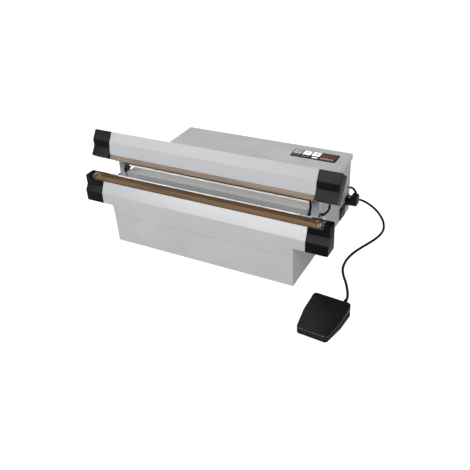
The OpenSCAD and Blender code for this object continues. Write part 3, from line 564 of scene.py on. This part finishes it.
# a noise's scale along x, y and z
DRAWN_ALONG_X = (0.05, 1, 1)
LAYERED_IN_Z = (1, 1, 6)


def cap_moulding(name, dust_and_painted_light, sheen=0.05):
    """Black moulding, paler on its sloping faces: painted light."""
    material = moulded(name, CAP_BLACK, rough=0.42, sheen=sheen)
    sloping = both(material, facing(material, 0.1, 0.5), facing(material, 0.98, 0.88))
    tint_where(material, sloping, grey(dust_and_painted_light))
    return material


def pedal_moulding():
    """Black moulding with a painted highlight along the treadle's rounded front edge."""
    material = moulded("pedal_moulding", grey(0.003), rough=0.5, grain_size=900, sheen=0.08)
    rounded = both(material, facing(material, 0.35, 0.6), facing(material, 0.93, 0.8))
    front = both(material, rounded, facing(material, -0.35, -0.5, "Y"))
    tint_where(material, front, grey(0.3))
    return material


def lower_jaw_coat():
    """Painted shade below the jaw's fold. Above it, painted light to the right and painted shade to
    the left.
    """
    material = powder_coat("lower_jaw_powder_coat", (0.428, 0.434, 0.444), rough=0.4,
                           speckle=0.04, band=(0, 0.1465), factor=0.84)
    above = along(material, "Z", 0.146, 0.147)
    for reach, shade in ((0.22, (0.478, 0.484, 0.496)), (-0.28, (0.372, 0.377, 0.39))):
        tint_where(material, both(material, above, along(material, "X", 0, reach)), shade)
    return material


def upper_jaw_coat():
    """Paler on the faces that don't look up: painted light."""
    material = powder_coat("upper_jaw_powder_coat", (0.321, 0.33, 0.339), rough=0.4, speckle=0.04)
    tint_where(material, facing(material, 0.4, 0.3), (0.372, 0.381, 0.393))
    return material


def cover_coat():
    """Paler on the cover's front end: painted light."""
    material = powder_coat("cover_powder_coat", COVER_GREY)
    tint_where(material, along(material, "Y", -0.07, -0.1), (0.45, 0.452, 0.446))
    return material


# the finish of each slot
MATERIALS = {
    "body_paint": powder_coat("body_powder_coat", COVER_GREY),
    "jaw_paint": powder_coat("jaw_powder_coat", (0.344, 0.346, 0.365), rough=0.4, speckle=0.04),
    "cap_plastic": cap_moulding("cap_moulding", dust_and_painted_light=0.023),
    "rubber_foot": rubbery("foot_rubber", grey(0.02)),
    "zinc_steel": metal("zinc_plate", (0.42, 0.43, 0.44), rough=0.42),
    "aluminium_bar": metal("extruded_aluminium", (0.82, 0.83, 0.85), rough=0.32,
                           stretch=DRAWN_ALONG_X, grain_size=900),
    "silicone_backing": rubbery("red_silicone", (0.42, 0.09, 0.05), rough=0.55),
    "band_metal": metal("nickel_chromium", (0.55, 0.53, 0.5), rough=0.35,
                        stretch=DRAWN_ALONG_X, grain_size=700),
    # painted shade: a darker copy of the strips' cloth for the lower strip, its top face darker still
    # by flat
    "release_fabric": coated_cloth("lower_glass_cloth", (0.132, 0.076, 0.037), flat=0.5),
    "bush_brass": metal("sintered_bronze", (0.62, 0.42, 0.2), rough=0.42),
    "winding": metal("enamelled_copper", (0.66, 0.27, 0.1), rough=0.3,
                     stretch=LAYERED_IN_Z, grain_size=500),
    "cord_rubber": rubbery("cord_sheath", grey(0.003), rough=0.5),
    "plug_plastic": moulded("plug_moulding", BLACK, rough=0.45, sheen=0.1),
    "panel_black": glossy("panel_film", (0.006, 0.006, 0.007), rough=0.4, coat=0.02),
    "window_red": glossy("tinted_window", (0.105, 0.038, 0.038), rough=0.15, coat=0.3),
    "key_grey": moulded("grey_key", grey(0.36), rough=0.4),
    "key_white": moulded("white_key", (0.8, 0.8, 0.79), rough=0.4),
    "circuit_board": moulded("circuit_board", (0.03, 0.16, 0.07), rough=0.35),
    "inlet_plastic": moulded("inlet_moulding", grey(0.004), rough=0.4, sheen=0.06),
    "rocker_plastic": moulded("rocker_moulding", (0.006, 0.006, 0.007), rough=0.35, sheen=0.1),
    "pedal_plastic": pedal_moulding(),
    "switch_plastic": moulded("switch_moulding", BLACK, rough=0.45),
}
# less painted light on the left caps' sloping faces
LEFT_CAP = cap_moulding("left_cap_moulding", dust_and_painted_light=0.013)
# painted shade: a darker copy of the body's coat for the side panels
SIDE_COAT = powder_coat("side_powder_coat", (0.272, 0.277, 0.286), rough=0.5, speckle=0.1, pits=0.6)
# nodes whose finish differs from their slot's
OWN_FINISH = {
    "side_panel_left": SIDE_COAT,
    "side_panel_right": SIDE_COAT,
    # painted shade: the tray darker towards its bottom, behind the jaws
    "bench_tray": powder_coat("tray_powder_coat", (0.374, 0.38, 0.386),
                              band=(0, 0.116), soft=0.05, factor=0.64),
    # painted shade: a darker line along the front panel's crease at 90 mm
    "front_panel": powder_coat("front_powder_coat", (0.359, 0.365, 0.37),
                               band=(0.0892, 0.0908), factor=0.82),
    "top_cover": cover_coat(),
    "lower_jaw_channel": lower_jaw_coat(),
    "upper_jaw_channel": upper_jaw_coat(),
    "lower_jaw_cap_left": LEFT_CAP,
    "upper_jaw_cap_left": LEFT_CAP,
    "lower_jaw_cap_right": cap_moulding("lower_right_cap_moulding", dust_and_painted_light=0.024, sheen=0.025),
    # painted light: a paler copy of the strips' cloth for the upper strip
    "upper_release_strip": coated_cloth("upper_glass_cloth", (0.235, 0.172, 0.128)),
}
# finishes of thin pieces that the solids don't have: print, a painted highlight and painted shade
GREY_PRINT = moulded("grey_print", (0.17, 0.165, 0.165), rough=0.5)
DARK_PRINT = moulded("dark_print", grey(0.09), rough=0.5)
# a pale skin that paints the highlight on the jaws' rear plate edges
EDGE_HIGHLIGHT = moulded("painted_edge_highlight", (0.88, 0.87, 0.86), rough=0.35)
# a dark cloth that paints the shade in the gaps at the strips' edges
SHADE_CLOTH = coated_cloth("painted_shade_cloth", (0.04, 0.027, 0.018))


def finish(piece, slot, body, material=None):
    """Gives a new piece its finish and the body that it moves with."""
    piece.data.materials.append(material or MATERIALS[slot])
    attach(piece, body)


for row in frame["record"]["subparts"]:
    shown = nodes[row["node"]].data.materials
    shown.clear()
    shown.append(OWN_FINISH.get(row["node"], MATERIALS[row["material_slot"]]))
for piece in (mains_lead, pedal_lead, tie):
    piece.data.materials.append(MATERIALS["cord_rubber"])

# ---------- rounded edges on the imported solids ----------

WELD_DISTANCE = 0.00001
LEVEL_DEG = 0.5
SHARP_DEG = 30
# sheet metal stays flat-shaded
FLAT_SHEETS = {
    "front_panel", "side_panel_left", "side_panel_right", "back_panel", "base_plate", "bench_tray",
    "top_cover", "lower_jaw_channel", "control_fascia",
}
# the rounding of each node's edges, in millimetres
EDGES = {
    "front_panel": 0.4, "side_panel_left": 0.4, "side_panel_right": 0.4, "back_panel": 0.4,
    "base_plate": 0.3, "bench_tray": 0.4, "top_cover": 0.5, "lower_jaw_channel": 0.5,
    "lower_jaw_cap_left": 1.5, "lower_jaw_cap_right": 1.5, "upper_jaw_cap_left": 1.5,
    "upper_jaw_cap_right": 1.5, "jaw_arm_left": 1.0, "jaw_arm_right": 1.0,
    "lower_release_strip": 0.25, "upper_release_strip": 0.25, "lower_seal_bar": 0.4,
    "upper_seal_bar": 0.4, "control_fascia": 0.4, "display_window": 0.3, "key_left": 0.6,
    "key_middle": 0.6, "key_right": 0.6, "mains_inlet": 0.6, "power_rocker": 0.5,
    "fuse_drawer": 0.5, "mains_connector": 1.6, "mains_plug": 1.2, "pedal_base": 0.6,
    "pedal_treadle": 4.5, "armature_levers": 0.5, "armature_plates": 0.5, "magnet_cups": 0.6,
    "magnet_brackets": 0.5, "transformer_core": 0.4, "transformer_coil": 2, "pivot_shaft": 0.6,
    "shaft_nuts": 0.5, "rubber_feet": 0.4, "pedal_switch": 0.4, "pedal_socket": 0.5,
}


def soften(node, width):
    """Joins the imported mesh's faces, then rounds its sharp edges."""
    piece = nodes[node]
    weld = piece.modifiers.new("join", "WELD")
    weld.merge_threshold = WELD_DISTANCE
    flat = piece.modifiers.new("flat", "DECIMATE")
    flat.decimate_type = "DISSOLVE"
    flat.angle_limit = math.radians(LEVEL_DEG)
    edge = piece.modifiers.new("edge", "BEVEL")
    edge.width = width * MM
    edge.segments = 2
    edge.limit_method = "ANGLE"
    edge.angle_limit = math.radians(SHARP_DEG)
    edge.use_clamp_overlap = True
    if node in FLAT_SHEETS:
        return
    edge.harden_normals = True
    for face in piece.data.polygons:
        face.use_smooth = True


for node, width in EDGES.items():
    soften(node, width)

# ---------- the jaws' leads ----------

PIVOT = (-110, 152.5)
LEAD_RADIUS = 2.8
LEAD_STEPS = 5
GROMMET_RADIUS = 3.8
GROMMET_THICK = 1.1
# points from the pivot, each line from the upper jaw to its grommet on an arm
LEAD_ROUTES = {
    "outer right": [
        (329.7, -17.5, 58.5), (329.7, -18, 52), (328.2, -16, 46), (324.7, -11, 38),
        (319.7, -6, 30), (314.2, 2, 22), (308.7, 7, 14.5), (303.2, 11, 9), (298, 13.3, 7),
    ],
    "inner right": [
        (275.1, -10, 61.5), (275.1, -5, 52), (275.1, -2, 42), (275.1, -1, 32), (275.1, -3, 23),
        (275.1, -9, 16), (275.1, -17, 12), (275.1, -25, 8), (275.5, -30, 1), (275.9, -29, -7),
        (276.5, -22, -12), (277.5, -14, -12), (280.6, -10.3, -9.2),
    ],
    "left": [
        (-247, -16, 53.5), (-254, -14, 48), (-262, -11.5, 41.5), (-271, -7.5, 35),
        (-280.4, -4.5, 26.5),
    ],
    "second left": [
        (-250, -16, 56), (-260, -13.5, 50.5), (-270, -9.5, 45), (-277.5, -6, 38),
        (-280.8, -4.8, 31),
    ],
}

lead_lines = [
    smooth_path([mm(x, PIVOT[0] + y, PIVOT[1] + z) for x, y, z in points], LEAD_STEPS)
    for points in LEAD_ROUTES.values()
]
jaw_wires = tube("jaw_wires", lead_lines, LEAD_RADIUS * MM)
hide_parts("jaw_leads")
finish(jaw_wires, "cord_rubber", "jaw")
grommets = tube("lead_grommets", [ring(line[-1], GROMMET_RADIUS) for line in lead_lines],
                GROMMET_THICK * MM, closed=True)
finish(grommets, "cord_rubber", "jaw")

# ---------- edges of the jaws' rear plates and of the lower strip, with painted highlights and painted shade ---

OPEN_DEG = 36
SEAL_Z = 189.5
SEAL_GAP = 0.6
REAR_Y = -163.0
SHEET = 1.5
SKIN = 0.12
EDGE_LOW = SEAL_Z - 2.6
EDGE_TOP = SEAL_Z - 0.1
THROAT = (-267.5, 267.5)
# the upper jaw's rear lip hangs behind the lower jaw's rear plate when the jaws are shut
LIP_ENDS = (-249, 279)
LIP_FRONT = REAR_Y + SHEET + 0.25
LIP_REAR = LIP_FRONT + 1.1
LIP_ROOT_FRONT = LIP_FRONT - 0.3
LIP_TOP = SEAL_Z + SEAL_GAP
LIP_ROOT_TOP = LIP_TOP + 6
LIP_DARK = SEAL_Z - 1.6
LIP_LOW = SEAL_Z - 5.4
STRIP_SHADE = (-189.9, 177.95, -188.6, 179.1)
STRIP_ENDS = (-312, 312)


def box_outline(y0, z0, y1, z1):
    return [(y0, z0), (y1, z0), (y1, z1), (y0, z1)]


def opened(outline):
    """Turns a (y, z) outline of the shut upper jaw into the open position."""
    a = math.radians(OPEN_DEG)
    turned = []
    for y, z in outline:
        dy, dz = y - PIVOT[0], z - PIVOT[1]
        turned.append((PIVOT[0] + dy * math.cos(a) + dz * math.sin(a),
                       PIVOT[1] - dy * math.sin(a) + dz * math.cos(a)))
    return turned


def bar(name, outline, ends):
    """A straight bar between two X values with the given (y, z) outline."""
    count = len(outline)
    work = bmesh.new()
    verts = [work.verts.new(mm(x, y, z)) for x in ends for y, z in outline]
    for i in range(count):
        j = (i + 1) % count
        work.faces.new((verts[i], verts[j], verts[count + j], verts[count + i]))
    work.faces.new(verts[:count][::-1])
    work.faces.new(verts[count:])
    bmesh.ops.recalc_face_normals(work, faces=work.faces)
    return add_mesh(name, work)


# painted highlight: a pale skin over the top edge of the lower jaw's rear plate
lower_highlight = bar("lower_edge_highlight", [
    (REAR_Y - SKIN, EDGE_LOW), (REAR_Y, EDGE_LOW), (REAR_Y, EDGE_TOP),
    (REAR_Y + SHEET, EDGE_TOP), (REAR_Y + SHEET, SEAL_Z + SKIN), (REAR_Y - SKIN, SEAL_Z + SKIN),
], THROAT)
finish(lower_highlight, "jaw_paint", "housing", EDGE_HIGHLIGHT)
# the upper lip's root in the jaw's coat, a dark band of painted shade, and below it a pale skin of
# painted highlight on the lip's lower edge
for name, outline, slot, material in (
    ("upper_lip_root", (LIP_ROOT_FRONT, LIP_TOP, LIP_REAR, LIP_ROOT_TOP), "jaw_paint", None),
    ("upper_lip_shade", (LIP_FRONT, LIP_DARK, LIP_REAR, LIP_TOP), "release_fabric", SHADE_CLOTH),
    ("upper_edge_highlight", (LIP_FRONT, LIP_LOW, LIP_REAR, LIP_DARK), "jaw_paint", EDGE_HIGHLIGHT),
):
    finish(bar(name, opened(box_outline(*outline)), LIP_ENDS), slot, "jaw", material)
# painted shade: a dark band along the lower strip's lower edge
strip_shade = bar("lower_strip_shade", box_outline(*STRIP_SHADE), STRIP_ENDS)
finish(strip_shade, "release_fabric", "housing", SHADE_CLOTH)

# ---------- printed marks on the control panel ----------

FASCIA_TOP = 182.5
KEY_TOP = 183.5
KEY_X = (124.5, 152.5, 180.5)
KEY_Y = 171.5
LAMP_Y = 151.2
PRINT = 0.08
LABEL_AT = (KEY_X[2] + 1, LAMP_Y - 1.4)
WINDOW_LABEL_AT = (217, 151.5)
# reach in x, reach in y and power of each mark's ovals
LAMP_OUTER = (10, 5.2, 0.7)
LAMP_INNER = (9.2, 4.4, 0.7)
LABEL_FIELD = (9, 2.9, 0.5)
WINDOW_LABEL = (20, 4.6, 0.3)
LOOP_OUTER = (6.5, 3.2, 0.6)
LOOP_INNER = (5.2, 2.1, 0.6)
WIDE_STROKE = (5.5, 1.3, 0.3)
TALL_STROKE = (1.3, 5.5, 0.3)


def printed(name, shapes, height):
    """Flat shapes on a level face. Each is a list of (x, y) loops: an outer one, and perhaps an
    inner one with the same number of points."""
    work = bmesh.new()
    for loops in shapes:
        bottom, top = (
            [[work.verts.new(mm(x, y, z)) for x, y in loop] for loop in loops]
            for z in (height, height + PRINT)
        )
        count = len(top[0])
        for i in range(count):
            j = (i + 1) % count
            for low, high in zip(bottom, top):
                work.faces.new((low[i], low[j], high[j], high[i]))
            if len(loops) == 2:
                work.faces.new((top[0][i], top[0][j], top[1][j], top[1][i]))
        if len(loops) == 1:
            work.faces.new(top[0])
    bmesh.ops.recalc_face_normals(work, faces=work.faces)
    return add_mesh(name, work)


lamp_frames = [[oval(x, LAMP_Y, *LAMP_OUTER), oval(x, LAMP_Y, *LAMP_INNER)] for x in KEY_X[:2]]
label_field = [[oval(*LABEL_AT, *LABEL_FIELD)]]
window_label = [[oval(*WINDOW_LABEL_AT, *WINDOW_LABEL)]]
finish(printed("panel_lamp_frames", lamp_frames, FASCIA_TOP), "key_grey", "housing")
finish(printed("panel_label_field", label_field, FASCIA_TOP), "key_white", "housing")
finish(printed("panel_window_label", window_label, FASCIA_TOP), "key_grey", "housing", GREY_PRINT)

LEFT_KEY, MIDDLE_KEY, RIGHT_KEY = ((x, KEY_Y) for x in KEY_X)
for body, loops in (
    ("key_left", [[oval(*LEFT_KEY, *LOOP_OUTER), oval(*LEFT_KEY, *LOOP_INNER)]]),
    ("key_middle", [[oval(*MIDDLE_KEY, *WIDE_STROKE)]]),
    ("key_right", [[oval(*RIGHT_KEY, *WIDE_STROKE)], [oval(*RIGHT_KEY, *TALL_STROKE)]]),
):
    finish(printed(body + "_mark", loops, KEY_TOP), "key_grey", body, DARK_PRINT)

# ---------- coil springs inside the housing and the pedal ----------

RETURN_X = 160
RETURN_ANCHOR = (-141, 34)
RETURN_STUD = (-90.5, 110.7)
RETURN_RADIUS = 4.1
RETURN_TURNS = 28
RETURN_WIRE = 0.8
RETURN_END = 8.5
NECK_OVERLAP = 0.4
EYE_AT = 2.7
EYE_RADIUS = 1.7
PEDAL_SPRING_AT = (382.14, -297)
PEDAL_SPRING_Z = (4.5, 22.9)
PEDAL_RADIUS = 6
PEDAL_TURNS = 6
PEDAL_WIRE = 1.0


def return_spring(x):
    """The lines of one return spring: an eye and a neck at each end, and the coil between them."""
    anchor = mm(x, *RETURN_ANCHOR)
    stud = mm(x, *RETURN_STUD)
    run = (stud - anchor).normalized() * MM
    lines = []
    for eye, inwards in ((anchor, run), (stud, -run)):
        circle = ring(eye + EYE_AT * inwards, EYE_RADIUS)
        neck = [eye + (EYE_AT + EYE_RADIUS) * inwards, eye + (RETURN_END + NECK_OVERLAP) * inwards]
        lines += [[*circle, circle[0]], neck]
    coil_start, coil_end = anchor + RETURN_END * run, stud - RETURN_END * run
    return [*lines, helix(coil_start, coil_end, RETURN_RADIUS, RETURN_TURNS, steps=14)]


coils = tube("return_spring_coils", return_spring(-RETURN_X) + return_spring(RETURN_X),
             RETURN_WIRE * MM, sides=2)
coils.data.materials.append(MATERIALS["zinc_steel"])
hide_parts("return_springs")
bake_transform(coils)

foot, head = (mm(*PEDAL_SPRING_AT, z) for z in PEDAL_SPRING_Z)
rise = mm(0, 0, PEDAL_WIRE)
wound = helix(foot + rise, head - rise, PEDAL_RADIUS, PEDAL_TURNS, steps=24)
coil = tube("pedal_spring_coil", [wound], PEDAL_WIRE * MM, sides=2)
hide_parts("pedal_spring")
finish(coil, "zinc_steel", "housing")
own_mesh(coil)

# ---------- floor and light ----------

FLOOR_HALF = 12
FLOOR_GREY = 0.25
FLOOR_GLOW = 0.92
BACKDROP_RADIUS = 11.5
WORLD_GLOW = 0.03
# place, target, size and power of each lamp
LAMPS = {
    "key_light": ((-1.6, -2.4, 1.9), (0, 0, 0.1), (1.8, 1.4), 55),
    "right_light": ((1.6, -2.0, 2.6), (0, 0, 0), (1.6, 1.2), 80),
    "top_light": ((-0.6, 0.5, 3.0), (0, 0, 0), (2.0, 2.0), 88),
}


def glowing(name, base, rough, specular):
    """A white glow over a grey base."""
    material, _, shader = new_material(name)
    shader.inputs["Base Color"].default_value = colour(grey(base))
    shader.inputs["Roughness"].default_value = rough
    shader.inputs["Specular IOR Level"].default_value = specular
    shader.inputs["Emission Color"].default_value = colour(grey(1))
    shader.inputs["Emission Strength"].default_value = FLOOR_GLOW
    return material


def make_floor():
    work = bmesh.new()
    corners = ((-1, -1), (1, -1), (1, 1), (-1, 1))
    work.faces.new([work.verts.new((FLOOR_HALF * x, FLOOR_HALF * y, 0)) for x, y in corners])
    floor = add_mesh("floor", work)
    floor.data.materials.append(glowing("pale_floor", FLOOR_GREY, rough=0.9, specular=0.1))


def make_backdrop():
    """A plain dome round the scene that only closes the picture and throws no light."""
    work = bmesh.new()
    bmesh.ops.create_uvsphere(work, u_segments=64, v_segments=32, radius=BACKDROP_RADIUS)
    dome = add_mesh("backdrop", work)
    for face in dome.data.polygons:
        face.use_smooth = True
    dome.data.materials.append(glowing("pale_backdrop", 0, rough=0.5, specular=0))
    dome.visible_diffuse = dome.visible_glossy = dome.visible_shadow = False
    dome.visible_transmission = dome.visible_volume_scatter = False


def area_light(name, at, target, size, power):
    data = bpy.data.lights.new(name, "AREA")
    data.shape = "RECTANGLE"
    data.size, data.size_y = size
    data.energy = power
    lamp = add_object(name, data)
    lamp.location = at
    lamp.rotation_euler = (Vector(target) - Vector(at)).to_track_quat("-Z", "Y").to_euler()


def make_world():
    world = bpy.data.worlds.new("studio")
    world.use_nodes = True
    background = world.node_tree.nodes["Background"]
    background.inputs["Color"].default_value = colour(grey(1))
    background.inputs["Strength"].default_value = WORLD_GLOW
    scene.world = world


make_floor()
make_backdrop()
for name, lamp in LAMPS.items():
    area_light(name, *lamp)
make_world()
